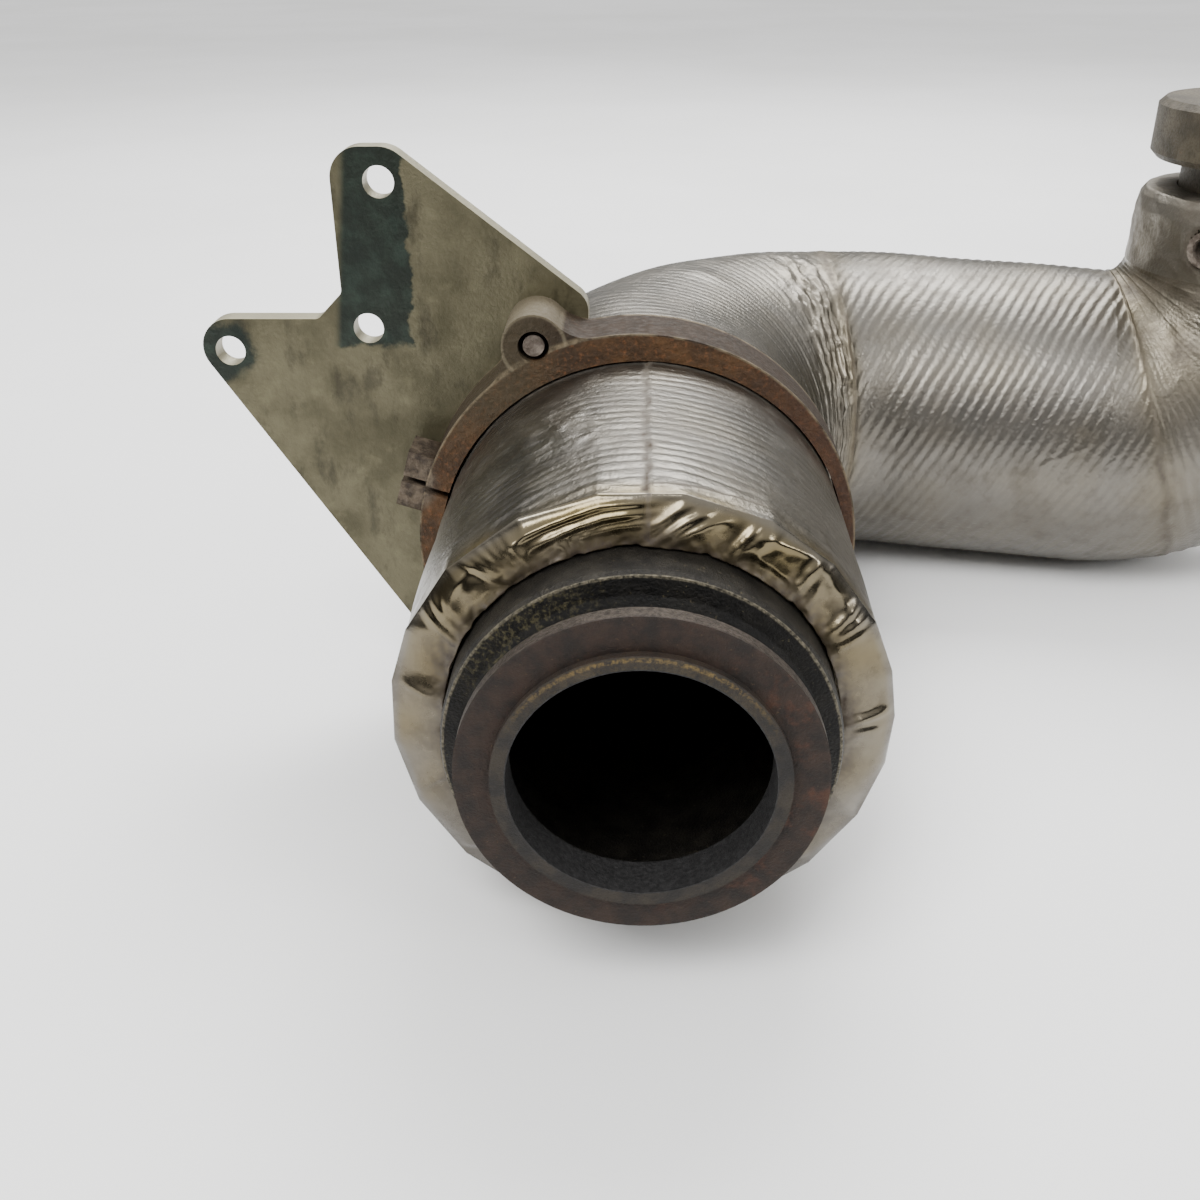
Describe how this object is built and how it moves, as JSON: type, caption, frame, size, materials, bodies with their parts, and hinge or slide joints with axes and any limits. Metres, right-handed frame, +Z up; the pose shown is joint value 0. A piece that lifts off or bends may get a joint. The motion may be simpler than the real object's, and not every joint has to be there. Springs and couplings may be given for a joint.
{
  "type": "exhaust pipe",
  "caption": "Foil-lagged steel exhaust pipe with a clamp-groove inlet flange, a wide bend, a tight elbow up to a thick outlet collar, and a clamped flat bracket plate.",
  "frame": {"origin": "centre of the inlet flange's sealing face", "axes": "+Y back along the inlet leg, +X along the middle leg to the outlet, +Z up along the outlet neck"},
  "size_m": [0.4752, 0.3834, 0.2093],
  "materials": {
    "flange_steel": "turned steel with brown rust",
    "pipe_steel": "dark scaled steel",
    "collar_steel": "dull brown grey steel",
    "boss_steel": "dull steel",
    "mat": "pale needled fibre",
    "end_foil": "heat-tinted gathered foil, straw to brown",
    "foil": "creased foil, silver with light tints",
    "neck_foil": "dull brown grey foil",
    "ring_steel": "cast steel with orange brown rust",
    "plate_steel": "olive zinc finish, mottled",
    "bolt_steel": "dull steel"
  },
  "bodies": {
    "root": {"inlet_flange": "flange_steel", "gas_tube": "pipe_steel", "outlet_elbow": "pipe_steel", "outlet_collar": "collar_steel", "sensor_boss": "boss_steel", "inlet_mat": "mat", "bend_mat": "mat", "middle_mat": "mat", "outlet_mat": "mat", "inlet_foil_cap": "end_foil", "inlet_foil": "foil", "bend_foil": "foil", "middle_foil": "foil", "elbow_foil": "foil", "outlet_foil_cap": "neck_foil", "clamp_ring": "ring_steel", "bracket_plate": "plate_steel", "clamp_bolt": "bolt_steel"}
  },
  "joints": []
}
